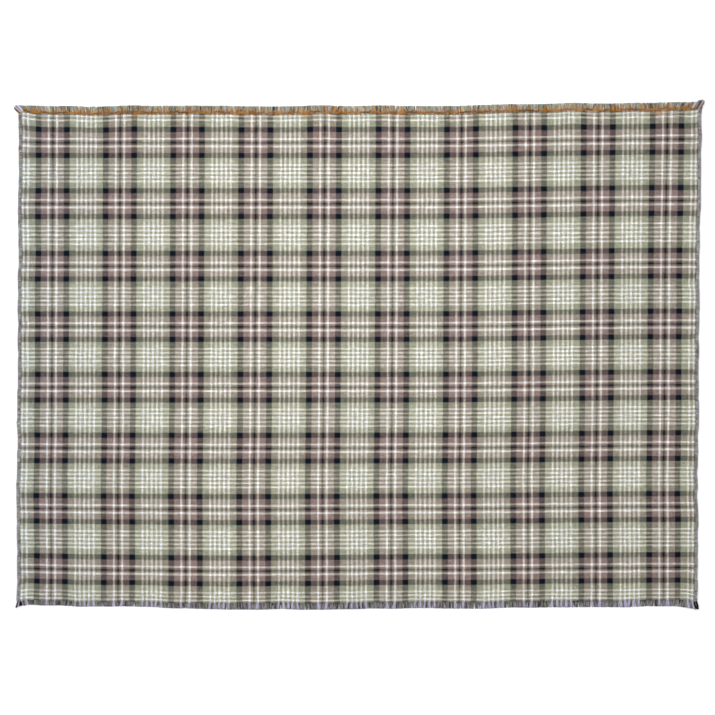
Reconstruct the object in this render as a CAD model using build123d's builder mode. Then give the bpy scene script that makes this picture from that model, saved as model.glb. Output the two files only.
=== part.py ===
"""A woven plaid camp blanket, lying flat: fringed far and near, overlocked left and right.

Millimetres. +X is right, +Y is far, +Z is up, and the floor is at Z = 0. The origin is the middle
of the blanket's outline on the floor. The warp yarns run along Y and end in the two fringes. The
weft yarns run along X and end inside the two overlocked edges.
"""

from build123d import *
import os

# ---- driving dimensions -------------------------------------------------------------------------

cloth_length = 1776.0  # along X, between the overlocked edges
cloth_depth = 1284.0  # along Y, between the fringes
cloth_thickness = 2.6

near_fringe_length = 18.0
far_fringe_length = 24.0
tuft_pitch = 6.1  # four warp yarns to a tuft
tuft_thickness = 1.8
tuft_gap = 1.2  # bare gap between two near tufts
ochre_tuft_width = 1.6  # one in every second gap between far tufts
ochre_tuft_gap = 0.4  # bare gap on each side of an ochre tuft
ochre_tuft_shortfall = 3.0  # how much shorter than its neighbours an ochre tuft is
tuft_root_share = 0.8  # width at the root over width near the tip

edging_width = 12.0  # from the cloth's edge to the outer face of the overlocking
core_height = 3.0
thread_thickness = 0.8
stitch_pitch = 7.0
stitch_gap = 1.5
needle_inset = 1.0  # needle line to the cloth's edge
needle_thread_width = 1.0

lock_pitch = 12.0
lock_gap = 2.0
lock_inset = 5.0  # lock stitch line to the cloth's edge
lock_thread_width = 0.8
lock_end_clearance = 6.0  # the lock stitch stops this far short of the cloth's corners

binding_inside = 2.5  # an ochre loop reaches this far over the cloth
binding_outside = 4.5  # and this far over the fringe
binding_thread_width = 1.4
binding_thread_thickness = 1.2

far_corner_spread = 9.0  # how far the far corner tufts pass the edging, along X
near_corner_spread = 1.5
corner_overhang = 5.0  # how far every corner tuft passes the fringe, along Y
corner_blades = 3
corner_blade_gap = 0.6
corner_tuft_thickness = 2.0

# The plaid's stripes, in order across the cloth, as dye and number of yarns.
stripes = [("charcoal", 10), ("mauve", 11), ("white", 4), ("mauve", 4), ("charcoal", 2)]
stripes += [("mauve", 4), ("white", 4), ("mauve", 11), ("charcoal", 10), ("green", 11)]
stripes += [("white", 4), ("green", 4)] * 4 + [("white", 4), ("green", 11)]
yarns_in_repeat = sum(yarns for dye, yarns in stripes)
warp_repeat = 179.8  # width of one whole repeat of the plaid
first_charcoal_centre = 40.0  # left edge of the cloth to the middle of a wide charcoal stripe

# ---- places worked out from them ----------------------------------------------------------------

half_length = cloth_length / 2
outer_x = half_length + edging_width
total_depth = cloth_depth + near_fringe_length + far_fringe_length + 2 * corner_overhang
near_y = -total_depth / 2 + near_fringe_length + corner_overhang
far_y = near_y + cloth_depth
middle_y = (near_y + far_y) / 2

tuft_count = round(cloth_length / tuft_pitch)
tuft_step = cloth_length / tuft_count
tuft_places = [-half_length + (i + 0.5) * tuft_step for i in range(tuft_count)]
ochre_places = [-half_length + i * tuft_step for i in range(1, tuft_count, 2)]
near_tuft_width = tuft_step - tuft_gap
far_tuft_width = tuft_step - ochre_tuft_width - 2 * ochre_tuft_gap

stitch_count = round(cloth_depth / stitch_pitch)
stitch_step = cloth_depth / stitch_count
stitch_places = [near_y + (i + 0.5) * stitch_step for i in range(stitch_count)]
stitch_length = stitch_step - stitch_gap

lock_line_length = cloth_length - 2 * lock_end_clearance
lock_count = round(lock_line_length / lock_pitch)
lock_step = lock_line_length / lock_count
lock_places = [-lock_line_length / 2 + (i + 0.5) * lock_step for i in range(lock_count)]

core_bottom = thread_thickness
core_middle = core_bottom + core_height / 2
core_radius = core_height / 2
sides = {"left": -1, "right": 1}
ends = {"near": -1, "far": 1}


def dye_at(x):
    """The dye of the warp yarn that crosses the cloth at x."""
    from_charcoal_middle = x + half_length - first_charcoal_centre
    yarn = from_charcoal_middle * yarns_in_repeat / warp_repeat + stripes[0][1] / 2
    yarn %= yarns_in_repeat
    for dye, yarns in stripes:
        if yarn < yarns:
            return dye
        yarn -= yarns
    return stripes[-1][0]


def save(part, name):
    """Label a finished piece and write it as its own STEP file."""
    part.label = name
    export_step(part, f"parts/{name}.step")


def tuft_outline(width, length):
    """The plan of one tuft, from its root on the X axis to its rounded tip."""
    root = width * tuft_root_share / 2
    shoulder = length - width / 2
    with BuildSketch() as outline:
        with BuildLine():
            Polyline((-width / 2, shoulder), (-root, 0), (root, 0), (width / 2, shoulder))
            ThreePointArc((width / 2, shoulder), (0, length), (-width / 2, shoulder))
        make_face()
    return outline.sketch


def tufts(end, outline, places):
    """A row of equal tufts, as separate solids, rooted on one fringed edge of the cloth."""
    edge_y = far_y if end == "far" else near_y
    turn = 0 if end == "far" else 180
    with BuildPart() as row:
        with BuildSketch():
            with Locations(*[Location((x, edge_y, 0), (0, 0, turn)) for x in places]):
                add(outline)
        extrude(amount=tuft_thickness)
    return row.part


def thread_run(places, line, along_x, length, width, thickness):
    """Stitches of one thread on top of the cloth, along X or Y, at the given places."""
    centres = [(place, line) if along_x else (line, place) for place in places]
    with BuildPart() as run:
        with BuildSketch(Plane.XY.offset(cloth_thickness)):
            with Locations(*centres):
                Rectangle(length, width, rotation=0 if along_x else 90)
        extrude(amount=thickness)
    return run.part


def edge_profile(side, growth):
    """Section of an edging, flat where it meets the cloth and round outside."""
    inner = side * half_length
    round_middle = side * (outer_x - thread_thickness - core_radius)
    outermost = round_middle + side * (core_radius + growth)
    low = core_middle - core_radius - growth
    high = core_middle + core_radius + growth
    with BuildLine() as profile:
        Polyline((round_middle, low), (inner, low), (inner, high), (round_middle, high))
        ThreePointArc((round_middle, high), (outermost, core_middle), (round_middle, low))
    return profile.line


def edge_core(side):
    """The bundle of cut weft ends inside one edging."""
    with BuildPart() as core:
        with BuildSketch(Plane.XZ.offset(-far_y)):
            make_face(edge_profile(side, 0).edges())
        extrude(amount=cloth_depth)
    return core.part


def looper_thread(side, upper):
    """One looper thread's stitches: half bands over or under the edging's core."""
    half_height = core_radius + thread_thickness
    half_middle = core_middle + (half_height / 2 if upper else -half_height / 2)
    with BuildPart() as thread:
        for place in stitch_places:
            with BuildSketch(Plane.XZ.offset(-place - stitch_length / 2)):
                make_face(edge_profile(side, thread_thickness).edges())
                make_face(edge_profile(side, 0).edges(), mode=Mode.SUBTRACT)
                with Locations((side * (half_length + edging_width / 2), half_middle)):
                    Rectangle(edging_width, half_height, mode=Mode.INTERSECT)
        extrude(amount=stitch_length)
    return thread.part


def corner_tuft(side, end):
    """Flat blades that fan out from the end of one edging."""
    edge_y = far_y if end == 1 else near_y
    length = far_fringe_length if end == 1 else near_fringe_length
    spread = far_corner_spread if end == 1 else near_corner_spread
    tip_y = edge_y + end * (length + corner_overhang)
    root_step = edging_width / corner_blades
    tip_step = (edging_width + spread) / corner_blades
    with BuildPart() as tuft:
        with BuildSketch(Plane.XY.offset(core_bottom)):
            for i in range(corner_blades):
                root_from = half_length + i * root_step + corner_blade_gap / 2
                root_to = half_length + (i + 1) * root_step - corner_blade_gap / 2
                tip_from = half_length + i * tip_step + corner_blade_gap
                tip_to = half_length + (i + 1) * tip_step
                with BuildLine():
                    Polyline(
                        (side * root_from, edge_y),
                        (side * root_to, edge_y),
                        (side * tip_to, tip_y),
                        (side * tip_from, tip_y),
                        close=True,
                    )
                make_face()
        extrude(amount=corner_tuft_thickness)
    return tuft.part


os.makedirs("parts", exist_ok=True)

# ---- the cloth ----------------------------------------------------------------------------------

with BuildPart() as woven_panel:
    with BuildSketch():
        with Locations((0, middle_y)):
            Rectangle(cloth_length, cloth_depth)
    extrude(amount=cloth_thickness)
save(woven_panel.part, "woven_panel")

# ---- the fringes, one node for each dye ---------------------------------------------------------

near_outline = tuft_outline(near_tuft_width, near_fringe_length)
far_outline = tuft_outline(far_tuft_width, far_fringe_length)
ochre_outline = tuft_outline(ochre_tuft_width, far_fringe_length - ochre_tuft_shortfall)
for dye in ("white", "green", "mauve", "charcoal"):
    places = [x for x in tuft_places if dye_at(x) == dye]
    save(tufts("near", near_outline, places), f"near_fringe_{dye}_tufts")
    save(tufts("far", far_outline, places), f"far_fringe_{dye}_tufts")
save(tufts("far", ochre_outline, ochre_places), "far_fringe_ochre_tufts")

# ---- the threads along the fringes --------------------------------------------------------------

binding_length = binding_inside + binding_outside
binding_middle = far_y + (binding_outside - binding_inside) / 2
with BuildPart() as far_binding_thread:
    with BuildSketch(Plane.XY.offset(cloth_thickness)):
        with Locations(*[(x, binding_middle) for x in ochre_places]):
            Rectangle(binding_thread_width, binding_length)
    extrude(amount=binding_thread_thickness)
save(far_binding_thread.part, "far_binding_thread")

for end, sign in ends.items():
    lock_line = (far_y if end == "far" else near_y) - sign * lock_inset
    lock_stitch_length = lock_step - lock_gap
    lock = thread_run(
        lock_places, lock_line, True, lock_stitch_length, lock_thread_width, thread_thickness
    )
    save(lock, f"{end}_lock_thread")

# ---- the overlocked edges and the corners -------------------------------------------------------

for name, side in sides.items():
    save(edge_core(side), f"{name}_edge_core")
    save(looper_thread(side, upper=True), f"{name}_upper_looper_thread")
    save(looper_thread(side, upper=False), f"{name}_lower_looper_thread")
    needle_line = side * (half_length - needle_inset)
    needle = thread_run(
        stitch_places, needle_line, False, stitch_length, needle_thread_width, thread_thickness
    )
    save(needle, f"{name}_needle_thread")
    for end, sign in ends.items():
        save(corner_tuft(side, sign), f"{end}_{name}_corner_tuft")
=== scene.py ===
"""A plaid camp blanket spread flat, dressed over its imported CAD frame. Metres.

+X runs along the fringed edges to the right, +Y towards the far fringe, +Z up off the floor.
The warp yarns run along Y and end in the fringes, and the weft yarns run along X.
"""

import math

import bpy
import numpy as np
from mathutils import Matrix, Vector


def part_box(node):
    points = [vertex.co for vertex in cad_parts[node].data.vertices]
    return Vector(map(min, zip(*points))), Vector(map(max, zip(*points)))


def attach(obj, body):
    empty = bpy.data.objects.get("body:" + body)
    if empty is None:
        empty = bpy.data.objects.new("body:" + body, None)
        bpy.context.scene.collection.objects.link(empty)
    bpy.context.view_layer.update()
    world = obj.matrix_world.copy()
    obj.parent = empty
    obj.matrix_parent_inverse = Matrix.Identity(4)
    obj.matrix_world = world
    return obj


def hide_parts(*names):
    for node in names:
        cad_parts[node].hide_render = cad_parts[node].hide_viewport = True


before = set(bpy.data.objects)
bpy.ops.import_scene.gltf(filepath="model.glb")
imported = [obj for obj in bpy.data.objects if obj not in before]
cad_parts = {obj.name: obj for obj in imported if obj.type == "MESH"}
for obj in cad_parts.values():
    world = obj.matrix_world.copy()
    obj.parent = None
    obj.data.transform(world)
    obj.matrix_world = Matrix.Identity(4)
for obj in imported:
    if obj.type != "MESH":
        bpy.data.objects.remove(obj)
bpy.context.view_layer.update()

MM = 0.001

# ---- places, from the frame ---------------------------------------------------------------------

panel_low, panel_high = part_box("woven_panel")
LEFT, RIGHT = panel_low.x, panel_high.x
NEAR, FAR = panel_low.y, panel_high.y
THICKNESS = panel_high.z - panel_low.z
WIDTH, DEPTH = RIGHT - LEFT, FAR - NEAR
MIDDLE_Y = (NEAR + FAR) / 2
NEAR_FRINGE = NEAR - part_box("near_fringe_white_tufts")[0].y
FAR_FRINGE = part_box("far_fringe_white_tufts")[1].y - FAR
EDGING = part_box("right_upper_looper_thread")[1].x - RIGHT
TUCK = 2.6 * MM  # how far the cloth runs on inside each edging
CORE_HALF_HEIGHT = (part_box("right_edge_core")[1].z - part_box("right_edge_core")[0].z) / 2

# ---- the cloth's make-up ------------------------------------------------------------------------

# Each stripe of the repeat, with its width in yarns.
STRIPES = [("charcoal", 10), ("mauve", 10.75), ("white", 3.5), ("mauve", 3.9)]
STRIPES += [("charcoal", 3.2), ("mauve", 3.9), ("white", 3.5), ("mauve", 10.75)]
STRIPES += [("charcoal", 10), ("green", 11.5)]
STRIPES += [("white", 3.5), ("green", 4.5)] * 4 + [("white", 3.5), ("green", 11.5)]
YARNS_IN_REPEAT = sum(yarns for dye, yarns in STRIPES)
WARP_REPEAT = 179.5 * MM
WEFT_REPEAT = 160.6 * MM
FIRST_WARP_CHARCOAL = 42.0 * MM  # left edge to the middle of a wide charcoal stripe
FIRST_WEFT_CHARCOAL = 39.1 * MM  # far edge to the middle of a wide charcoal stripe
WARP_PITCH = WARP_REPEAT / YARNS_IN_REPEAT
WEFT_PITCH = WEFT_REPEAT / YARNS_IN_REPEAT

GRID_STEP = 8 * MM  # of the cloth's mesh
SETTLING_STEP = 16 * MM  # of the sheet that is simulated
SETTLING_FRAMES = 30
HIGHEST_RIPPLE = 8.5 * MM
YARN_CLEARANCE = 0.05 * MM  # the least that a yarn or a thread stays above the floor
CORE_CLEARANCE = 0.3 * MM  # the same for the edge cores


def linear(red, green, blue):
    """A display colour, 0 to 255, as the linear colour that shaders take."""
    levels = np.array([red, green, blue]) / 255
    return np.where(levels <= 0.04045, levels / 12.92, ((levels + 0.055) / 1.055) ** 2.4)


DYES = {
    "charcoal": linear(14, 21, 31),
    "mauve": linear(141, 122, 118),
    "green": linear(154, 155, 135),
    "white": linear(244, 242, 230),
}


def dye_at(x):
    """The dye of the warp yarn that crosses the cloth at x."""
    yarn = (x - LEFT - FIRST_WARP_CHARCOAL) / WARP_PITCH + STRIPES[0][1] / 2
    yarn %= YARNS_IN_REPEAT
    for dye, yarns in STRIPES:
        if yarn < yarns:
            return dye
        yarn -= yarns
    return STRIPES[-1][0]


# ---- how the cloth lies -------------------------------------------------------------------------


def smooth_step(value, start, end):
    """0 before start, 1 after end, and smooth between."""
    t = np.clip((value - start) / (end - start), 0, 1)  # start may be above end
    return t * t * (3 - 2 * t)


def bump(value, centre, width):
    """A smooth hill, 1 high at centre."""
    return np.exp(-(((value - centre) / width) ** 2))


def wander(position, seed, longest, waves=5):
    """A smooth irregular wave along one direction, about -1 to 1."""
    draw = np.random.default_rng(seed)
    total = np.zeros_like(position)
    for order in range(waves):
        length = longest / (1 + 0.85 * order) * draw.uniform(0.85, 1.15)
        phase = draw.uniform(0, 2 * math.pi)
        total += np.sin(2 * math.pi * position / length + phase) / (1 + order * 0.6)
    return total / 2.0


def corner_lift(x):
    """How far the far left corner is pulled out past the rest of the far edge."""
    return 5.5 * MM * bump(x, LEFT, 30 * MM)


def drift(x, y):
    """How far the yarns wander from square, along X and along Y."""
    u = (x - LEFT) / WIDTH
    v = (y - NEAR) / DEPTH

    # A lean, a pull at the far right corner, and stretches that bow to the left or the right.
    along_x = 6 * MM * (v - 0.5) + 5 * MM * bump(u, 1, 0.12) * bump(v, 1, 0.2)
    along_x -= 3.3 * MM * bump(u, 0.27, 0.17)
    along_x += 2.2 * MM * bump(u, 0.8, 0.2)
    along_x -= 1.6 * MM * bump(v, 0.24, 0.1)
    along_x += 1.8 * MM * bump(u, 0, 0.07) * (1 - 0.5 * v)

    # The right end lies farther off, and the weft is looser or tighter in places.
    along_y = 6 * MM * smooth_step(u, 0.62, 0.97) * (0.8 + 0.3 * v)
    along_y -= 4.4 * MM * (1 - smooth_step(v, 0.72, 0.79))  # the weft is looser just here
    along_y += 1.2 * MM * (1 - smooth_step(v, 0.0, 0.04))
    along_y += 1.3 * MM * (1 - smooth_step(v, 0.0, 0.06)) * (1 - smooth_step(u, 0.2, 0.5))
    along_y -= 1.4 * MM * bump(v, 0.72, 0.16)
    along_y += 0.7 * MM * smooth_step(v, 0.93, 1)
    along_y += corner_lift(x) * smooth_step(v, 0.9, 1)
    at_right = 3.0 * MM * bump(u, 1, 0.006)  # the edging's ends reach past the corners
    at_left = 3.0 * MM * bump(u, 0, 0.006)
    along_y += at_right * smooth_step(v, 0.9, 1) - (at_left + at_right) * smooth_step(v, 0.1, 0)
    along_y -= 2.6 * MM * v * (1 - smooth_step(u, 0.5, 0.8))
    along_y -= 4.5 * MM * bump(u, 0.33, 0.17) * bump(v, 0, 0.25)
    along_y += 3.5 * MM * bump(u, 0, 0.07) * bump(v, 0, 0.2)

    # Each edge has small waves of its own.
    along_x = along_x + 1.5 * MM * bump(u, 0, 0.03) * wander(y, 3, 0.30)
    along_x = along_x + 1.5 * MM * bump(u, 1, 0.03) * wander(y, 5, 0.26)
    along_y = along_y + 1.5 * MM * bump(v, 0, 0.05) * wander(x, 7, 0.34)
    along_y = along_y + 1.8 * MM * bump(v, 1, 0.05) * wander(x, 9, 0.42)
    return along_x, along_y


def unfolded(x, y):
    """How high the cloth stands when it is let go: soft waves, and ridges from its folds."""
    fold_width, fold_height = 22 * MM, 8 * MM
    height = 5.0 * MM * wander(x * 0.92 + y * 0.39, 21, 0.42, 4)
    height += 4.5 * MM * wander(y * 0.96 - x * 0.28, 23, 0.37, 4)
    for fold_x in (-0.25 * WIDTH, 0.0, 0.25 * WIDTH):
        ridge = bump(x + 20 * MM * wander(y, 31, 0.9, 2), fold_x, fold_width)
        height += fold_height * ridge * (0.6 + 0.5 * wander(y, 33, 0.5, 3))
    ridge = bump(y + 10 * MM * wander(x, 35, 0.8, 2), MIDDLE_Y, fold_width)
    height += fold_height * ridge * (0.6 + 0.5 * wander(x, 37, 0.6, 3))
    lowest, middle = 3 * MM, 9 * MM
    return np.maximum(height + middle, lowest)


def settled(x, y, start):
    """Where a sheet that starts at those heights comes to rest on the floor, by simulation."""
    scene = bpy.context.scene
    mesh = bpy.data.meshes.new("settling_sheet")
    index = np.arange(x.size).reshape(x.shape)
    quads = [index[:-1, :-1], index[:-1, 1:], index[1:, 1:], index[1:, :-1]]
    faces = np.stack(quads, axis=2).reshape(-1, 4).tolist()
    mesh.from_pydata(np.stack([x, y, start], axis=2).reshape(-1, 3).tolist(), [], faces)
    sheet = bpy.data.objects.new("settling_sheet", mesh)
    ground_mesh = bpy.data.meshes.new("settling_ground")
    corners = [(-2, -2, 0), (2, -2, 0), (2, 2, 0), (-2, 2, 0)]
    ground_mesh.from_pydata(corners, [], [(0, 1, 2, 3)])
    ground = bpy.data.objects.new("settling_ground", ground_mesh)
    scene.collection.objects.link(sheet)
    scene.collection.objects.link(ground)
    ground.modifiers.new("ground", "COLLISION")
    ground.collision.thickness_outer = 1 * MM
    ground.collision.cloth_friction = 30

    cloth_modifier = sheet.modifiers.new("cloth", "CLOTH")
    wool = cloth_modifier.settings
    wool.quality = 5
    wool.mass = 0.05
    wool.tension_stiffness = wool.compression_stiffness = 40
    wool.bending_stiffness = 4
    wool.air_damping = 2
    cloth_modifier.collision_settings.distance_min = 1 * MM
    cloth_modifier.point_cache.frame_end = SETTLING_FRAMES
    for frame_number in range(1, SETTLING_FRAMES + 1):
        scene.frame_set(frame_number)
    moved = sheet.evaluated_get(bpy.context.evaluated_depsgraph_get()).to_mesh()
    points = np.empty(x.size * 3)
    moved.vertices.foreach_get("co", points)
    bpy.data.objects.remove(sheet)
    bpy.data.objects.remove(ground)
    scene.frame_set(1)
    return points.reshape(*x.shape, 3)


def refined(values, positions_x, positions_y, new_x, new_y):
    """A grid's values at a finer grid's positions, smoothed so that the old step is lost."""
    across = np.array([np.interp(new_x, positions_x, row) for row in values])
    both = np.array([np.interp(new_y, positions_y, column) for column in across.T]).T
    for _ in range(3):
        wider = np.pad(both, 1, mode="edge")
        both = (wider[:-2, 1:-1] + 2 * both + wider[2:, 1:-1]) / 4
        wider = np.pad(both, 1, mode="edge")
        both = (wider[1:-1, :-2] + 2 * both + wider[1:-1, 2:]) / 4
    return both


cloth_left, cloth_right = LEFT - TUCK, RIGHT + TUCK
coarse_x = np.linspace(cloth_left, cloth_right, round((cloth_right - cloth_left) / SETTLING_STEP))
coarse_y = np.linspace(NEAR, FAR, round(DEPTH / SETTLING_STEP))
sheet_x, sheet_y = np.meshgrid(coarse_x, coarse_y)
rest = settled(sheet_x, sheet_y, unfolded(sheet_x, sheet_y))

columns = round((cloth_right - cloth_left) / GRID_STEP) + 1
rows = round(DEPTH / GRID_STEP) + 1
fine_x, fine_y = np.linspace(cloth_left, cloth_right, columns), np.linspace(NEAR, FAR, rows)
flat_x, flat_y = np.meshgrid(fine_x, fine_y)
settled_z = refined(rest[..., 2], coarse_x, coarse_y, fine_x, fine_y)
settled_z = np.clip(settled_z - settled_z.min(), 0, HIGHEST_RIPPLE)
drift_x, drift_y = drift(flat_x, flat_y)
laid = np.stack([flat_x + drift_x, flat_y + drift_y, THICKNESS / 2 + settled_z], axis=2)


def lie(x, y):
    """Where the cloth's middle is for a point of the flat cloth, past its edges too."""
    x, y = np.broadcast_arrays(np.asarray(x, float), np.asarray(y, float))
    inside_x, inside_y = np.clip(x, cloth_left, cloth_right), np.clip(y, NEAR, FAR)
    column = (inside_x - cloth_left) / (cloth_right - cloth_left) * (columns - 1)
    row = (inside_y - NEAR) / DEPTH * (rows - 1)
    i = np.minimum(column.astype(int), columns - 2)
    j = np.minimum(row.astype(int), rows - 2)
    s, t = (column - i)[..., None], (row - j)[..., None]
    low = laid[j, i] * (1 - s) + laid[j, i + 1] * s
    high = laid[j + 1, i] * (1 - s) + laid[j + 1, i + 1] * s
    point = low * (1 - t) + high * t
    point[..., 0] += x - inside_x
    point[..., 1] += y - inside_y
    return point


# ---- meshes -------------------------------------------------------------------------------------


def add_piece(name, vertices, faces, material, nodes=()):
    """A new mesh piece that rides on the body, material and hidden CAD nodes."""
    mesh = bpy.data.meshes.new(name)
    mesh.from_pydata(vertices.tolist(), [], faces)
    mesh.polygons.foreach_set("use_smooth", [True] * len(mesh.polygons))
    mesh.materials.append(material)
    mesh.update()
    piece = bpy.data.objects.new(name, mesh)
    bpy.context.scene.collection.objects.link(piece)
    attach(piece, "root")
    if nodes:
        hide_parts(*nodes)
    return piece


def unit(vectors):
    """The vectors at length 1."""
    return vectors / np.maximum(np.linalg.norm(vectors, axis=-1, keepdims=True), 1e-12)


def add_yarns(name, lines, radii, tints, nodes=(), across_of=(0, 0, 1), sides=6):
    """Closed tubes along lines (yarn, station, xyz), with a radius at each station.

    across_of is a direction that no line runs along. A yarn has one tint, or one at each
    station. The material reads the tint, and how far along and around the yarn a point is.
    """
    lines, radii, tints = np.array(lines), np.array(radii), np.array(tints)
    count, stations = lines.shape[:2]
    tangent = unit(np.gradient(lines, axis=1))
    across = unit(np.cross(tangent, np.array(across_of, float)))
    up = np.cross(across, tangent)
    turn = np.arange(sides) * 2 * math.pi / sides
    spoke = np.cos(turn)[:, None] * across[:, :, None] + np.sin(turn)[:, None] * up[:, :, None]
    points = lines[:, :, None] + radii[:, :, None, None] * spoke
    points[..., 2] = np.maximum(points[..., 2], YARN_CLEARANCE)

    first = (np.arange(count) * stations * sides)[:, None, None]
    ring = (np.arange(stations - 1) * sides)[None, :, None]
    here = first + ring + np.arange(sides)
    following = first + ring + (np.arange(sides) + 1) % sides
    quads = np.stack([here, following, following + sides, here + sides], axis=3).reshape(-1, 4)
    start_caps = (first[:, 0] + np.arange(sides)[::-1]).tolist()
    end_caps = (first[:, 0] + (stations - 1) * sides + np.arange(sides)).tolist()
    faces = quads[:, ::-1].tolist() + [f[::-1] for f in start_caps] + [f[::-1] for f in end_caps]
    piece = add_piece(name, points.reshape(-1, 3), faces, YARN, nodes)

    steps = np.linalg.norm(np.diff(lines, axis=1), axis=2)
    along = np.concatenate([np.zeros((count, 1)), np.cumsum(steps, axis=1)], axis=1)
    ply = np.empty((count, stations, sides, 3))
    ply[..., 0], ply[..., 1], ply[..., 2] = np.cos(turn), np.sin(turn), along[:, :, None]
    colours = np.ones((count, stations, sides, 4))
    colours[..., :3] = tints[:, None, None] if tints.ndim == 2 else tints[:, :, None]
    mesh = piece.data
    mesh.attributes.new("ply", "FLOAT_VECTOR", "POINT").data.foreach_set("vector", ply.ravel())
    mesh.attributes.new("tint", "FLOAT_COLOR", "POINT").data.foreach_set("color", colours.ravel())
    return piece


# ---- materials ----------------------------------------------------------------------------------


class Nodes:
    """A small helper that adds shader nodes and links them."""

    def __init__(self, name):
        self.material = bpy.data.materials.new(name)
        self.material.use_nodes = True
        self.tree = self.material.node_tree
        self.shader = self.tree.nodes["Principled BSDF"]

    def put(self, socket, value):
        """Link a socket to another, or set it to a value."""
        if isinstance(value, bpy.types.NodeSocket):
            self.tree.links.new(value, socket)
        else:
            socket.default_value = value

    def math(self, operation, *values):
        node = self.tree.nodes.new("ShaderNodeMath")
        node.operation = operation
        for socket, value in zip(node.inputs, values):
            self.put(socket, value)
        return node.outputs[0]

    def vector(self, x, y, z=0.0):
        node = self.tree.nodes.new("ShaderNodeCombineXYZ")
        for socket, value in zip(node.inputs, (x, y, z)):
            self.put(socket, value)
        return node.outputs[0]

    def split(self, vector):
        node = self.tree.nodes.new("ShaderNodeSeparateXYZ")
        self.put(node.inputs[0], vector)
        return node.outputs

    def attribute(self, name):
        node = self.tree.nodes.new("ShaderNodeAttribute")
        node.attribute_name = name
        return node.outputs

    def noise(self, vector, scale, detail=2.0):
        node = self.tree.nodes.new("ShaderNodeTexNoise")
        self.put(node.inputs["Vector"], vector)
        self.put(node.inputs["Scale"], scale)
        self.put(node.inputs["Detail"], detail)
        return node.outputs["Fac"]

    def mix(self, factor, one, other, blend="MIX"):
        node = self.tree.nodes.new("ShaderNodeMix")
        node.data_type = "RGBA"
        node.blend_type = blend
        node.clamp_factor = True
        self.put(node.inputs["Factor"], factor)
        self.put(node.inputs[6], one)  # colour A
        self.put(node.inputs[7], other)  # colour B
        return node.outputs[2]

    def brighten(self, colour, factor):
        """The colour times a factor."""
        grey = self.tree.nodes.new("ShaderNodeCombineColor")
        for socket in grey.inputs[:3]:
            self.put(socket, factor)
        return self.mix(1.0, colour, grey.outputs[0], "MULTIPLY")

    def bump(self, height, distance, strength):
        """Relief on the whole surface."""
        node = self.tree.nodes.new("ShaderNodeBump")
        self.put(node.inputs["Height"], height)
        node.inputs["Distance"].default_value = distance
        node.inputs["Strength"].default_value = strength
        self.tree.links.new(node.outputs["Normal"], self.shader.inputs["Normal"])

    def finish(self, colour, roughness, sheen):
        """Give the shader its colour and its surface, and return the material."""
        self.put(self.shader.inputs["Base Color"], colour)
        self.shader.inputs["Roughness"].default_value = roughness
        self.shader.inputs["Specular IOR Level"].default_value = 0.08
        self.shader.inputs["Sheen Weight"].default_value = sheen
        self.shader.inputs["Sheen Roughness"].default_value = 0.5
        return self.material


def stripe_ramp(nodes, position):
    """The yarn colour and two marks, for charcoal and for white, at a position in the repeat."""
    ramp = nodes.tree.nodes.new("ShaderNodeValToRGB")
    ramp.color_ramp.interpolation = "CONSTANT"
    marks = {"charcoal": 0.0, "mauve": 0.5, "green": 0.5, "white": 1.0}
    elements = ramp.color_ramp.elements
    yarn = 0
    for order, (dye, yarns) in enumerate(STRIPES):
        if order < len(elements):
            element = elements[order]
            element.position = yarn / YARNS_IN_REPEAT
        else:
            element = elements.new(yarn / YARNS_IN_REPEAT)
        element.color = (*DYES[dye], marks[dye])
        yarn += yarns
    nodes.put(ramp.inputs[0], position)
    is_charcoal = nodes.math("LESS_THAN", ramp.outputs[1], 0.25)
    is_white = nodes.math("GREATER_THAN", ramp.outputs[1], 0.75)
    return ramp.outputs[0], is_charcoal, is_white


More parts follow.
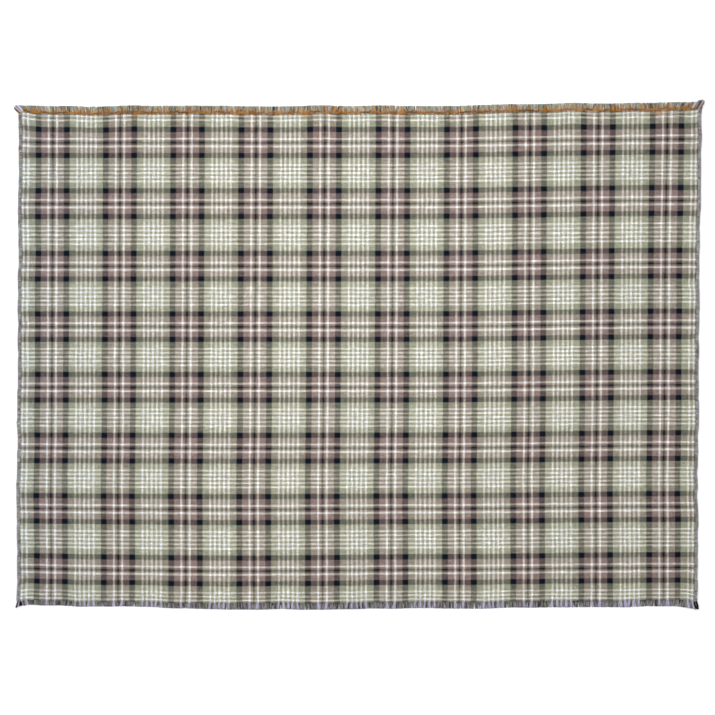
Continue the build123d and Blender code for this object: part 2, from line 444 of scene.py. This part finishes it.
def plaid_material():
    """Two-by-two twill in the plaid's yarns, from where a point is on the flat cloth."""
    n = Nodes("plaid_cloth")
    x, y, _ = n.split(n.attribute("flat")[1])
    half_stripe = STRIPES[0][1] / 2 / YARNS_IN_REPEAT
    warp_at = n.math("ADD", n.math("DIVIDE", x, WARP_REPEAT), half_stripe)
    weft_at = n.math("ADD", n.math("DIVIDE", y, WEFT_REPEAT), half_stripe)
    warp, warp_dark, warp_white = stripe_ramp(n, n.math("FRACT", warp_at))
    weft, weft_dark, weft_white = stripe_ramp(n, n.math("FRACT", weft_at))

    # Each yarn's own unevenness: narrow across the yarn and long along it.
    warp_slub = n.noise(n.vector(n.math("MULTIPLY", x, 420), n.math("MULTIPLY", y, 40)), 1.0)
    weft_slub = n.noise(n.vector(n.math("MULTIPLY", x, 40), n.math("MULTIPLY", y, 460)), 1.0)
    warp = n.brighten(warp, n.math("MULTIPLY_ADD", warp_slub, 1.5, 0.25))
    weft = n.brighten(weft, n.math("MULTIPLY_ADD", weft_slub, 2.2, -0.1))

    # Twill: each weft yarn passes over two warp yarns and under two, one step along per row.
    warp_count = n.math("DIVIDE", x, WARP_PITCH)
    weft_count = n.math("DIVIDE", y, WEFT_PITCH)
    step = n.math("ADD", n.math("FLOOR", warp_count), n.math("FLOOR", weft_count))
    place = n.math("MODULO", n.math("ADD", step, 4000.0), 4.0)
    weft_over = n.math("LESS_THAN", place, 1.5)
    contrast = 0.45  # how much more of the yarn on top shows than of the one below
    share = n.math("MULTIPLY_ADD", weft_over, contrast, 0.5 - contrast / 2)

    # Charcoal yarns show more than their share where they cross other dyes, most of all where they
    # cross white.
    lead = n.math("SUBTRACT", weft_dark, warp_dark)
    share = n.math("MULTIPLY_ADD", lead, 0.13, share)
    dark_over_white = n.math("MULTIPLY", weft_dark, warp_white)
    white_under_dark = n.math("MULTIPLY", warp_dark, weft_white)
    share = n.math("MULTIPLY_ADD", dark_over_white, 0.04, share)
    share = n.math("MULTIPLY_ADD", white_under_dark, -0.04, share)
    colour = n.mix(share, warp, weft)

    # White on white is bluer than white among other dyes, and white among charcoal is warmer.
    both_white = n.math("MULTIPLY", warp_white, weft_white)
    cool = n.mix(both_white, (1, 1, 1, 1), (0.915, 0.945, 1.14, 1))
    colour = n.mix(1.0, colour, cool, "MULTIPLY")
    dark_and_white = n.math("ADD", dark_over_white, white_under_dark)
    warm = n.mix(dark_and_white, (1, 1, 1, 1), (1.07, 0.99, 0.89, 1))
    colour = n.mix(1.0, colour, warm, "MULTIPLY")

    # Heathered wool: flecks that are rosier or greener, lighter or darker.
    fleck = n.noise(n.vector(x, y), 360.0, 1.0)
    hue = n.noise(n.vector(x, y, 3.0), 260.0, 2.0)
    colour = n.brighten(colour, n.math("MULTIPLY_ADD", fleck, 2.4, -0.2))
    rosy = n.math("MULTIPLY_ADD", hue, 2.4, -0.7)
    tint = n.mix(rosy, (0.96, 1.03, 0.99, 1), (1.05, 0.975, 1.01, 1))
    colour = n.mix(1.0, colour, tint, "MULTIPLY")

    # Slow changes of shade over the cloth, cooler at the left.
    patch = n.noise(n.vector(x, y), 3.0, 3.0)
    colour = n.brighten(colour, n.math("MULTIPLY_ADD", patch, 0.16, 0.92))
    from_left = n.math("MULTIPLY", x, -6.0)
    coolness = n.math("MULTIPLY", n.math("EXPONENT", from_left), 0.5)
    colour = n.mix(coolness, colour, n.mix(1.0, colour, (0.93, 0.99, 1.08, 1), "MULTIPLY"))

    # Yarn crowns and hairs in relief.
    relief, relief_strength = 0.45 * MM, 0.6
    warp_crown = n.math("PINGPONG", warp_count, 0.5)
    weft_crown = n.math("PINGPONG", weft_count, 0.5)
    over = n.math("MULTIPLY", weft_over, weft_crown)
    under = n.math("MULTIPLY", n.math("SUBTRACT", 1.0, weft_over), warp_crown)
    hairs = n.noise(n.vector(x, y), 900.0, 3.0)
    height = n.math("ADD", n.math("ADD", over, under), n.math("MULTIPLY", hairs, 0.35))
    n.bump(height, relief, relief_strength)
    return n.finish(colour, roughness=0.95, sheen=0.04)


def yarn_material():
    """Twisted yarn: its tint with painted shade between plies, and stray lighter fibres."""
    n = Nodes("twisted_yarn")
    tint = n.attribute("tint")[0]
    cosine, sine, along = n.split(n.attribute("ply")[1])
    twist_length = 3.2 * MM
    angle = n.math("MULTIPLY", along, 2 * math.pi / twist_length)
    turned = n.math("MULTIPLY", n.math("SINE", angle), cosine)
    twist = n.math("ADD", turned, n.math("MULTIPLY", n.math("COSINE", angle), sine))
    place = n.tree.nodes.new("ShaderNodeTexCoord").outputs["Object"]
    fibre = n.noise(place, 1500.0, 2.0)
    # Painted shade in the grooves between plies, plus the fibres' own lighter and darker flecks.
    shade = n.math("MULTIPLY_ADD", twist, 0.10, n.math("MULTIPLY_ADD", fibre, 0.5, 0.72))
    n.bump(n.math("ADD", twist, fibre), 0.25 * MM, 0.5)
    return n.finish(n.brighten(tint, shade), roughness=0.9, sheen=0.15)


def floor_material():
    """Plain pale studio floor that glows a little, so that it shows white."""
    n = Nodes("pale_floor")
    n.shader.inputs["Emission Color"].default_value = (1, 1, 1, 1)
    n.shader.inputs["Emission Strength"].default_value = 0.25
    return n.finish((0.9, 0.9, 0.9, 1), roughness=0.9, sheen=0.0)


PLAID = plaid_material()
YARN = yarn_material()

# ---- the woven panel ----------------------------------------------------------------------------


def woven_panel():
    """The cloth as a closed sheet, with its flat coordinates for the weave."""
    count = rows * columns
    top = laid.reshape(-1, 3) + (0, 0, THICKNESS / 2)
    bottom = laid.reshape(-1, 3) - (0, 0, THICKNESS / 2)
    index = np.arange(count).reshape(rows, columns)
    a, b = index[:-1, :-1].ravel(), index[:-1, 1:].ravel()
    c, d = index[1:, 1:].ravel(), index[1:, :-1].ravel()
    top_faces = np.stack([a, b, c, d], axis=1)
    bottom_faces = np.stack([d, c, b, a], axis=1) + count
    border = np.concatenate([index[0, :-1], index[:-1, -1], index[-1, :0:-1], index[:0:-1, 0]])
    after = np.roll(border, -1)
    rim = np.stack([border + count, after + count, after, border], axis=1)
    faces = np.concatenate([top_faces, bottom_faces, rim]).tolist()
    piece = add_piece(
        "woven_panel_cloth", np.concatenate([top, bottom]), faces, PLAID,
        ["woven_panel"],
    )
    flat = np.stack([flat_x - LEFT - FIRST_WARP_CHARCOAL, FAR - FIRST_WEFT_CHARCOAL - flat_y,
                     np.zeros_like(flat_x)], axis=2).reshape(-1, 3)
    both = np.concatenate([flat, flat]).ravel()
    piece.data.attributes.new("flat", "FLOAT_VECTOR", "POINT").data.foreach_set("vector", both)

    # Both faces show the same plaid, so they share one map, and the rim takes a strip of it.
    u = (flat_x - cloth_left) / (cloth_right - cloth_left)
    v = (flat_y - NEAR) / DEPTH
    inset = 0.003  # width of the strip, as a share of the map
    outer = np.stack([u, v], axis=2).reshape(-1, 2)
    inner = np.clip(outer, inset, 1 - inset)
    corners = np.empty(len(piece.data.loops), int)
    piece.data.loops.foreach_get("vertex_index", corners)
    in_rim = np.arange(len(corners)) >= 4 * (len(top_faces) + len(bottom_faces))
    spots = outer[corners % count]
    lower = in_rim & (corners >= count)
    spots[lower] = inner[corners[lower] % count]
    baked = piece.data.uv_layers.new(name="OFBake")
    baked.data.foreach_set("uv", spots.ravel())
    return piece


# ---- the fringes --------------------------------------------------------------------------------

yarn_count = round(WIDTH / WARP_PITCH)
yarn_places = LEFT + (np.arange(yarn_count) + 0.5) * WIDTH / yarn_count
BEND = np.linspace(0, 1, 8)  # stations along a fringe yarn, from root to tip

LAVENDER = linear(196, 190, 208)
SAGE = linear(150, 156, 142)
PALE_SAGE = linear(180, 184, 168)
GREY_BROWN = linear(138, 128, 124)
DARK_BROWN = linear(84, 74, 76)
GREY_LILAC = linear(152, 146, 156)
VIOLET = linear(190, 181, 210)
CHARCOAL = linear(34, 36, 44)
OCHRE = linear(196, 134, 56)
PALE_OCHRE = linear(214, 170, 112)
BURNT_OCHRE = linear(156, 96, 32)
DEEP_OCHRE = linear(104, 66, 34)

NEAR_MIX = {
    "white": [(VIOLET, 1.0)],
    "green": [(SAGE, 0.40), (GREY_LILAC, 0.38), (DARK_BROWN, 0.15), (CHARCOAL, 0.07)],
    "mauve": [(GREY_LILAC, 0.58), (SAGE, 0.20), (DARK_BROWN, 0.15), (CHARCOAL, 0.07)],
    "charcoal": [(SAGE, 0.30), (GREY_LILAC, 0.38), (DARK_BROWN, 0.17), (CHARCOAL, 0.15)],
}
FAR_MIX = {
    "white": [(PALE_SAGE, 0.60), (LAVENDER, 0.20), (SAGE, 0.20)],
    "green": [(SAGE, 0.46), (PALE_SAGE, 0.42), (GREY_BROWN, 0.07), (CHARCOAL, 0.05)],
    "mauve": [(SAGE, 0.42), (GREY_BROWN, 0.12), (PALE_SAGE, 0.42), (CHARCOAL, 0.04)],
    "charcoal": [(SAGE, 0.62), (GREY_BROWN, 0.14), (DARK_BROWN, 0.10), (CHARCOAL, 0.14)],
}

# Painted shade: factors that darken the lower fringe yarns, as if in shadow under and between the
# yarns on top.
NEAR_PAINTED_SHADES = [0.70, 0.42, 0.10]  # of the lower yarns, against the colours on top
FAR_PAINTED_SHADES = [1.00, 0.72, 0.16]
UNDER_SHARES = [0.42, 0.34, 0.24]  # how many of the lower yarns take each shade
BARE_SHARE = 0.18  # of the dyed lower yarns with no yarn on top of them
FLUFF = 1.45  # how much thicker the white yarns on top are than the dyed ones
ROOT_INSIDE = 2.5 * MM  # how far inside edge_y a fringe yarn starts
TOP_ROW_LIFT = 1.7 * MM


def pick(draw, mix):
    """A tint drawn from a list of (tint, share), a little lighter or darker."""
    shares = np.array([share for _, share in mix])
    tint = mix[draw.choice(len(mix), p=shares / shares.sum())][0]
    return tint * draw.uniform(0.82, 1.18)


def fringe_yarn(draw, root_x, edge_y, outward, length, lean, curl, lift, radius):
    """One fringe yarn's line and radii, from just inside edge_y out to its cut tip."""
    root = lie(root_x, edge_y - outward * ROOT_INSIDE)
    reach = length + ROOT_INSIDE
    sway = lean * reach * BEND**1.3 + curl * np.sin(BEND * math.pi * draw.uniform(0.8, 1.6))
    x = root[0] + sway
    y = root[1] + outward * reach * BEND
    fall = smooth_step(BEND, 0.1, 0.9)
    z = root[2] * (1 - fall) + (radius + lift) * fall
    thickness = radius * (1 + 0.15 * np.sin(BEND * 7 + draw.uniform(0, 6)))
    thickness = thickness * np.where(BEND > 0.99, 0.75, 1.0)
    return np.stack([x, y, z], axis=1), thickness


def near_length(x):
    """How far the near tufts reach: shorter at the left, and longest at the right corner."""
    shorter = 0.26 * (1 - smooth_step(x, LEFT + 0.25, LEFT + 0.66)) + 0.02
    longer = 0.28 * smooth_step(x, RIGHT - 0.06, RIGHT)
    return NEAR_FRINGE * (1 - shorter + longer) + 0.4 * MM


def far_length(x):
    """How far the far tufts reach: their tips stay in line where the corner is pulled out."""
    return FAR_FRINGE - 0.85 * corner_lift(x)


def fringe_rows(draw, edge_y, outward, length_at, lean_at, mixes, painted_shades, name, spread):
    """One fringe's warp yarns, as a piece for each dye: a lower row in painted shade and one on
    top.
    """
    made = {dye: ([], [], []) for dye in DYES}
    clump = draw.integers(1000)
    for place in yarn_places:
        dye = dye_at(place)
        length = float(length_at(place))
        lean = float(lean_at(place))
        lines, radii, tints = made[dye]
        fluff = FLUFF if dye == "white" else 1.0
        line, radius = fringe_yarn(
            draw, place, edge_y, outward, length * draw.uniform(0.965, 1.0),
            lean + draw.normal(0, 0.05), 0.0, 0.0, draw.uniform(0.9, 1.05) * MM,
        )
        # Painted shade on the lower yarn, a fixed one for white yarns.
        shade = 0.8 if dye == "white" else draw.choice(painted_shades, p=UNDER_SHARES)
        lines.append(line)
        radii.append(radius)
        tints.append(pick(draw, mixes[dye]) * shade)
        if dye != "white" and draw.uniform() < BARE_SHARE:
            continue
        clumping = float(wander(np.array(place), clump, 0.026, 3))
        scatter = 0.02 if dye == "white" else 0.11
        line, radius = fringe_yarn(
            draw, place + clumping * 0.6 * MM, edge_y, outward,
            length * draw.uniform(0.86, 1.005), lean + spread * clumping + draw.normal(0, scatter),
            draw.normal(0, 0.5 * MM), TOP_ROW_LIFT, draw.uniform(0.66, 0.86) * fluff * MM,
        )
        lines.append(line)
        radii.append(radius)
        tints.append(pick(draw, mixes[dye]) * draw.uniform(0.8, 1.15))
    pieces = []
    for dye, (lines, radii, tints) in made.items():
        pieces.append(add_yarns(
            f"{name}_fringe_{dye}_yarns", lines, radii, tints,
            [f"{name}_fringe_{dye}_tufts"],
        ))
    return pieces


def near_lean(x):
    """How far the near yarns lean to the right, as a share of their length."""
    at_left = 0.4 * np.exp(-(x - LEFT) / 0.02)
    at_right = 0.28 * np.exp(-(RIGHT - x) / 0.03)
    return at_left + at_right + 0.10 * wander(np.array(x), 31, 0.16, 4)


def far_lean(x):
    """How far the far yarns lean to the right: outwards at both ends."""
    at_left = -0.55 * np.exp(-(x - LEFT) / 0.07)
    at_right = 0.6 * np.exp(-(RIGHT - x) / 0.05)
    return at_left + at_right + 0.14 * wander(np.array(x), 33, 0.13, 4)


OCHRE_START = 2.5 * MM  # past the cloth's edge, where the ochre yarns' lengths start


def ochre_yarns():
    """Ochre yarns that curve up out of the binding among the far tufts, paler to their tips."""
    draw = np.random.default_rng(41)
    lines, radii, tints = [], [], []
    x = LEFT + 3 * MM
    while x < RIGHT - 2 * MM:
        lean = float(far_lean(x)) + 0.20 * float(wander(np.array(x), 49, 0.026, 3))
        lean += draw.choice([-1, 1]) * draw.uniform(0.05, 0.40)
        radius = draw.uniform(0.75, 1.1) * MM
        length = (float(far_length(x)) - OCHRE_START) * draw.uniform(0.45, 0.97)
        line, radius_at = fringe_yarn(
            draw, x, FAR + OCHRE_START, 1, length, lean,
            draw.normal(0, 1.0 * MM), draw.uniform(2.6, 3.4) * MM, radius,
        )
        line[:, 0] += draw.choice([-1, 1]) * 2.2 * MM * (1 - BEND) ** 3
        line[:, 2] = np.maximum(line[:, 2], THICKNESS / 2 + 1.4 * MM + radius)
        lines.append(line)
        radii.append(radius_at)
        tip = pick(draw, [(OCHRE, 0.60), (PALE_OCHRE, 0.25), (BURNT_OCHRE, 0.15)])
        fade = smooth_step(BEND, 0.1, 0.6)[:, None]
        tints.append(BURNT_OCHRE * (1 - fade) + tip * fade)
        x += draw.uniform(2.2, 6.4) * MM
    return add_yarns(
        "far_fringe_ochre_yarns", lines, radii, tints, ["far_fringe_ochre_tufts"]
    )


BINDING_OUT = 5.6 * MM  # from the cloth's far edge to the middle of the binding
BINDING_WANDER = 2.0 * MM


def binding_thread():
    """Ochre threads that loop along the base of the far fringe."""
    draw = np.random.default_rng(43)
    lines, radii, tints = [], [], []
    stations = 14
    for strand in range(3):
        start = LEFT + 1 * MM
        while start < RIGHT - 6 * MM:
            end = min(start + draw.uniform(16, 34) * MM, RIGHT - 1 * MM)
            along = np.linspace(start, end, stations)
            wave = draw.uniform(8, 15) * MM
            swing = np.sin(2 * math.pi * along / wave + draw.uniform(0, 2 * math.pi))
            reach = draw.uniform(0.8, 2.2) * MM
            level = BINDING_OUT + draw.normal(0, 0.7 * MM)
            level = level + BINDING_WANDER * wander(along, 45, 0.05)
            line = lie(along, FAR + level + reach * swing)
            line[:, 2] += THICKNESS / 2 + (0.3 + 0.45 * strand) * MM + 0.4 * MM * swing
            lines.append(line)
            radii.append(np.full(stations, draw.uniform(0.6, 0.85) * MM))
            tints.append(pick(draw, [(OCHRE, 0.50), (BURNT_OCHRE, 0.30), (DEEP_OCHRE, 0.20)]))
            start = end - draw.uniform(1, 4) * MM
    return add_yarns(
        "far_binding_yarns", lines, radii, tints, ["far_binding_thread"]
    )


def loose_fibres():
    """Ochre hairs that have slipped from the binding onto the plaid."""
    draw = np.random.default_rng(47)
    stations = 10
    # Each clump is how far along the edge it is, as a share, and how many hairs are in it.
    clumps = [(0.17, 9), (0.18, 5), (0.42, 10), (0.55, 3), (0.68, 4), (0.94, 12), (0.95, 6)]
    lines, radii, tints = [], [], []
    for share, hairs in clumps:
        for _ in range(hairs):
            start = LEFT + share * WIDTH + draw.normal(0, 9 * MM)
            heading = draw.uniform(-2.6, -0.5)
            turning = draw.normal(0, 1.6)
            length = draw.uniform(8, 20) * MM
            steps = np.linspace(0, 1, stations)
            angle = heading + turning * steps
            x = start + np.cumsum(np.cos(angle)) * length / stations
            y = FAR + 2 * MM + np.cumsum(np.sin(angle)) * length / stations
            line = lie(x, y)
            line[:, 2] += THICKNESS / 2 + 0.35 * MM
            lines.append(line)
            radii.append(np.linspace(0.45, 0.25, stations) * MM)
            tints.append(pick(draw, [(PALE_OCHRE, 0.6), (OCHRE, 0.4)]))
    return add_yarns("far_loose_ochre_hairs", lines, radii, tints, sides=5)


# ---- the stitched edges -------------------------------------------------------------------------

EDGE_TINTS = [
    (linear(190, 197, 200), 0.34),
    (linear(172, 173, 182), 0.24),
    (linear(134, 136, 140), 0.18),
    (linear(182, 188, 178), 0.14),
    (linear(122, 94, 92), 0.10),
]
EDGE_REACH = EDGING - 0.7 * MM  # from the panel's edge to the outside of the stitches
EDGE_WIDTH = 9.4 * MM
STITCH_PITCH = 7.0 * MM
STITCHES = round(DEPTH / STITCH_PITCH)
STITCH_STEP = DEPTH / STITCHES
NEEDLE_LENGTH, NEEDLE_SLANT = 3.4 * MM, 2.6 * MM
NEEDLE_SHARE = 0.42  # of the needle's stitches that show above the loops
STITCH_SWEEP = np.linspace(-0.5, 0.5, 6)  # stations along a short stitch
STITCH_ARCH = 0.9 - 5.5 * STITCH_SWEEP**2  # how high they stand, in radii
THREADS_PER_STITCH = 3


def edge_centre(side, y):
    """Middle of an edging at y, and how wide it is there."""
    edge_x = RIGHT if side > 0 else LEFT
    width = EDGE_WIDTH * (1 + 0.08 * wander(y, 51 + side, 0.075, 3))
    scallop = 0.9 * MM * wander(y, 55 + side, 0.085, 4)
    middle = lie(np.full_like(y, edge_x), y)
    middle[:, 0] += side * (EDGE_REACH + scallop - width / 2)
    return middle, width


def edge_core(name, side):
    """The bundle of yarn ends inside an edging, as a long rounded roll."""
    sides = 12
    y = np.linspace(NEAR, FAR, 260)
    middle, width = edge_centre(side, y)
    turn = np.linspace(0, 2 * math.pi, sides + 1)[:-1]
    points = middle[:, None] + np.zeros((1, sides, 1))
    points[..., 0] += np.cos(turn) * (width[:, None] / 2 - 0.6 * MM)
    points[..., 2] += np.sin(turn) * CORE_HALF_HEIGHT
    points[..., 2] = np.maximum(points[..., 2], CORE_CLEARANCE)
    index = np.arange(len(y) * sides).reshape(len(y), sides)
    here, following = index, np.roll(index, -1, axis=1)
    quads = np.stack([here[:-1], here[1:], following[1:], following[:-1]], axis=2).reshape(-1, 4)
    faces = quads.tolist() + [index[0].tolist(), index[-1][::-1].tolist()]
    piece = add_piece(
        f"{name}_edge_core_roll", points.reshape(-1, 3), faces, YARN,
        [f"{name}_edge_core"],
    )
    tint = np.tile((*GREY_BROWN, 1.0), len(y) * sides)
    attributes = piece.data.attributes
    attributes.new("tint", "FLOAT_COLOR", "POINT").data.foreach_set("color", tint)
    ply = np.zeros((len(y), sides, 3))
    ply[..., 0], ply[..., 1] = np.cos(turn), np.sin(turn)
    ply[..., 2] = y[:, None]
    attributes.new("ply", "FLOAT_VECTOR", "POINT").data.foreach_set("vector", ply.ravel())
    return piece


def looper_thread(name, side, upper):
    """Stitches that fan out from the needle line and wrap over or under the edging."""
    draw = np.random.default_rng(61 + side + 4 * upper)
    lines, radii, tints = [], [], []
    sweep = np.linspace(0, 1, 10)
    rise = 1 if upper else -1
    for stitch in range(STITCHES):
        hole_y = NEAR + (stitch + 0.5) * STITCH_STEP
        for thread in range(THREADS_PER_STITCH):
            spread = (thread + 0.5) / THREADS_PER_STITCH - 0.5
            outer_y = hole_y + (spread - 0.45) * STITCH_STEP + draw.normal(0, 0.3 * MM)
            y = hole_y + spread * 0.25 * STITCH_STEP + (outer_y - hole_y) * sweep
            y = np.clip(y, NEAR + 0.5 * MM, FAR - 0.5 * MM)
            middle, width = edge_centre(side, y)
            angle = math.pi * (1 - 0.98 * sweep)
            radius = draw.uniform(0.65, 0.9) * MM
            line = middle.copy()
            grow = draw.uniform(0.94, 1.06)
            line[:, 0] += side * np.cos(angle) * (width / 2 * grow - radius)
            line[:, 2] += rise * np.sin(angle) * (CORE_HALF_HEIGHT + 0.4 * MM)
            lines.append(line)
            radii.append(np.full(len(sweep), radius))
            tints.append(pick(draw, EDGE_TINTS))
    layer = "upper" if upper else "lower"
    return add_yarns(
        f"{name}_{layer}_looper_stitches", lines, radii, tints,
        [f"{name}_{layer}_looper_thread"], across_of=(0, 1, 0), sides=5,
    )


def stitch_line(name, x, y, dx, dy, radius, tint, node, seed):
    """A row of short stitches that rise out of the cloth and go down into it again."""
    draw = np.random.default_rng(seed)
    sweep = STITCH_SWEEP
    lines, radii, tints = [], [], []
    for place_x, place_y in zip(x, y):
        line = lie(place_x + dx * sweep, place_y + dy * sweep * draw.uniform(0.8, 1.1))
        line[:, 2] += THICKNESS / 2 + radius * STITCH_ARCH
        lines.append(line)
        radii.append(np.full(len(sweep), radius * draw.uniform(0.8, 1.15)))
        tints.append(tint * draw.uniform(0.7, 1.3))
    return add_yarns(name, lines, radii, tints, [node])


def needle_thread(name, side):
    """The overlock's needle thread, in slanting stitches that lie on top of the edging."""
    draw = np.random.default_rng(71 + side)
    sweep = STITCH_SWEEP
    lines, radii, tints = [], [], []
    for stitch in range(STITCHES):
        if draw.uniform() > NEEDLE_SHARE:
            continue
        hole_y = NEAR + (stitch + 0.5) * STITCH_STEP
        y = hole_y + NEEDLE_LENGTH * draw.uniform(0.6, 1.2) * sweep
        middle, width = edge_centre(side, y)
        radius = draw.uniform(0.6, 0.9) * MM
        line = middle.copy()
        line[:, 0] += NEEDLE_SLANT * sweep - side * draw.uniform(0.08, 0.28) * width
        line[:, 2] += CORE_HALF_HEIGHT + 1.2 * MM + radius * STITCH_ARCH
        lines.append(line)
        radii.append(np.full(len(sweep), radius))
        tints.append(linear(104, 74, 72) * draw.uniform(0.7, 1.4))
    return add_yarns(
        f"{name}_needle_stitches", lines, radii, tints,
        [f"{name}_needle_thread"],
    )


def lock_thread(name, edge_y, inward):
    """The stitch that holds the last weft yarn beside a fringe."""
    pitch, inset, length, radius = 12 * MM, 5 * MM, 9 * MM, 0.28 * MM
    stitches = round((WIDTH - pitch) / pitch)
    x = np.linspace(LEFT + pitch, RIGHT - pitch, stitches)
    y = np.full(stitches, edge_y + inward * inset)
    return stitch_line(
        f"{name}_lock_stitches", x, y, length, 0, radius, linear(176, 172, 160),
        f"{name}_lock_thread", 75 + inward,
    )


# ---- the corner tufts ---------------------------------------------------------------------------


def corner_tuft(end, name, side, root_line, tips):
    """Yarn tails that fan from a corner to tips given as (out, past, tint, radius).

    Out is how far past the panel's side edge a tip is, and past how far beyond its fringed
    edge. They and the radius are in millimetres. The roots stand along root_line, whose two
    ends are given as (out, past).
    """
    draw = np.random.default_rng(81 + side + (4 if end == "far" else 0))
    edge_y, outward = (FAR, 1) if end == "far" else (NEAR, -1)
    edge_x = RIGHT if side > 0 else LEFT
    first, last = np.array(root_line[0]), np.array(root_line[1])
    lines, radii, tints = [], [], []
    for order, (out, past, tint, radius) in enumerate(tips):
        root_out, root_past = first + (last - first) * order / (len(tips) - 1)
        root = lie(edge_x + side * root_out * MM, edge_y + outward * root_past * MM)
        tip = lie(edge_x + side * out * MM, edge_y + outward * past * MM)
        t = BEND[:, None]
        line = root * (1 - t) + tip * t
        line[:, 0] += side * draw.uniform(-0.9, 0.9) * MM * np.sin(BEND * math.pi)
        line[:, 2] = root[2] + 1.2 * MM + (radius * MM + 1.0 * MM - root[2]) * BEND
        line[:, 2] += 1.4 * MM * np.sin(BEND * math.pi) * (order % 2)
        lines.append(line)
        radii.append(radius * MM * np.where(BEND > 0.99, 0.7, 1.0))
        tints.append(tint * draw.uniform(0.9, 1.1))
    return add_yarns(
        f"{end}_{name}_corner_yarns", lines, radii, tints, [f"{end}_{name}_corner_tuft"]
    )


VIOLET_GREY = linear(150, 138, 182)
PALE_LAVENDER = linear(238, 236, 246)
BLACK = linear(8, 10, 18)
FAR_LEFT_ROOTS = [(9, -3), (-3, 5)]
FAR_LEFT_TIPS = [
    (21, 8, OCHRE, 1.0), (22, 10, BURNT_OCHRE, 1.0), (23, 12, GREY_BROWN, 1.2),
    (23, 14, DARK_BROWN, 1.1), (22.5, 16, PALE_LAVENDER, 1.5), (20, 17.5, VIOLET_GREY, 1.5),
    (17, 18.5, VIOLET_GREY, 1.3), (14, 19, PALE_LAVENDER, 1.5), (10, 19, PALE_SAGE, 1.3),
    (6, 19, SAGE, 1.2),
]
FAR_RIGHT_ROOTS = [(-6, 4), (8, 0)]
FAR_RIGHT_TIPS = [
    (2, 25, SAGE, 1.3), (5, 26, GREY_BROWN, 1.3), (8, 25, DARK_BROWN, 1.5),
    (10.5, 26, DARK_BROWN, 1.4), (13, 27.5, SAGE, 1.2), (15.5, 26, LAVENDER, 1.4),
    (18, 23, SAGE, 1.2), (17, 19, BURNT_OCHRE, 1.4), (14, 16, BURNT_OCHRE, 1.2),
    (12, 12, VIOLET_GREY, 1.1), (11.5, 8, BLACK, 1.4),
]
NEAR_LEFT_ROOTS = [(6, -2), (-1, 1)]
NEAR_LEFT_TIPS = [
    (11.5, 15, CHARCOAL, 1.3), (12.5, 17, BLACK, 1.8), (10.5, 17.5, BLACK, 1.4),
    (7.5, 16, LAVENDER, 1.3), (4.5, 15, VIOLET_GREY, 1.2), (1, 14, BLACK, 1.7),
    (-2.5, 13, BLACK, 1.8), (-5, 11.5, CHARCOAL, 1.2),
]
NEAR_RIGHT_ROOTS = [(-4, 3), (8, 0)]
NEAR_RIGHT_TIPS = [
    (0, 20, PALE_SAGE, 1.1), (2.5, 22, LAVENDER, 1.2), (5, 22.5, VIOLET_GREY, 1.1),
    (6.5, 20, BLACK, 1.4), (9, 21.5, BLACK, 1.6), (10.5, 19, SAGE, 0.7),
    (12, 21.5, BLACK, 1.8), (13.5, 21, BLACK, 1.7), (13, 17, BLACK, 1.5),
]

# ---- build the pieces ---------------------------------------------------------------------------

cloth = woven_panel()
near_pieces = fringe_rows(
    np.random.default_rng(11), NEAR, -1, near_length, near_lean, NEAR_MIX, NEAR_PAINTED_SHADES,
    "near", 0.22,
)
far_pieces = fringe_rows(
    np.random.default_rng(13), FAR, 1, far_length, far_lean, FAR_MIX, FAR_PAINTED_SHADES, "far", 0.30
)
trims = near_pieces + far_pieces + [ochre_yarns(), binding_thread(), loose_fibres()]
for name, side in (("left", -1), ("right", 1)):
    trims.append(edge_core(name, side))
    trims.append(looper_thread(name, side, True))
    trims.append(looper_thread(name, side, False))
    trims.append(needle_thread(name, side))
trims.append(lock_thread("near", NEAR, 1))
trims.append(lock_thread("far", FAR, -1))
trims += [
    corner_tuft("far", "left", -1, FAR_LEFT_ROOTS, FAR_LEFT_TIPS),
    corner_tuft("far", "right", 1, FAR_RIGHT_ROOTS, FAR_RIGHT_TIPS),
    corner_tuft("near", "left", -1, NEAR_LEFT_ROOTS, NEAR_LEFT_TIPS),
    corner_tuft("near", "right", 1, NEAR_RIGHT_ROOTS, NEAR_RIGHT_TIPS),
]

# ---- the studio ---------------------------------------------------------------------------------

VIEW_WIDTH = 1.888  # how much floor the picture spans
AIM = (-1.3 * MM, -3.7 * MM)  # the spot on the floor at the picture's middle
LENS, SENSOR = 100.0, 36.0
camera_height = VIEW_WIDTH * LENS / SENSOR
camera = bpy.data.objects.new("camera", bpy.data.cameras.new("camera"))
camera.data.lens = LENS
camera.data.sensor_width = SENSOR
camera.data.clip_end = 50
camera.location = (*AIM, camera_height)
bpy.context.scene.collection.objects.link(camera)
bpy.context.scene.camera = camera

half = 15.0  # half the floor's width
floor_corners = [(-half, -half, 0), (half, -half, 0), (half, half, 0), (-half, half, 0)]
floor_mesh = bpy.data.meshes.new("floor")
floor_mesh.from_pydata(floor_corners, [], [(0, 1, 2, 3)])
floor_mesh.materials.append(floor_material())
floor = bpy.data.objects.new("floor", floor_mesh)
bpy.context.scene.collection.objects.link(floor)


def area_light(name, location, size, power):
    """A soft square light that faces the blanket."""
    light = bpy.data.objects.new(name, bpy.data.lights.new(name, "AREA"))
    light.data.size = size
    light.data.energy = power
    light.location = location
    light.visible_camera = False
    away = light.location.to_track_quat("Z", "Y")
    light.rotation_euler = away.to_euler()
    bpy.context.scene.collection.objects.link(light)


area_light("key", (-2.2, 2.4, 3.4), 2.5, 50)
area_light("overhead", (0.02, 0.22, 1.5), 0.8, 8.8)
world = bpy.data.worlds.new("studio")
world.use_nodes = True
world.node_tree.nodes["Background"].inputs["Color"].default_value = (1, 1, 1, 1)
world.node_tree.nodes["Background"].inputs["Strength"].default_value = 0.67
bpy.context.scene.world = world
bpy.context.scene.view_settings.view_transform = "Standard"
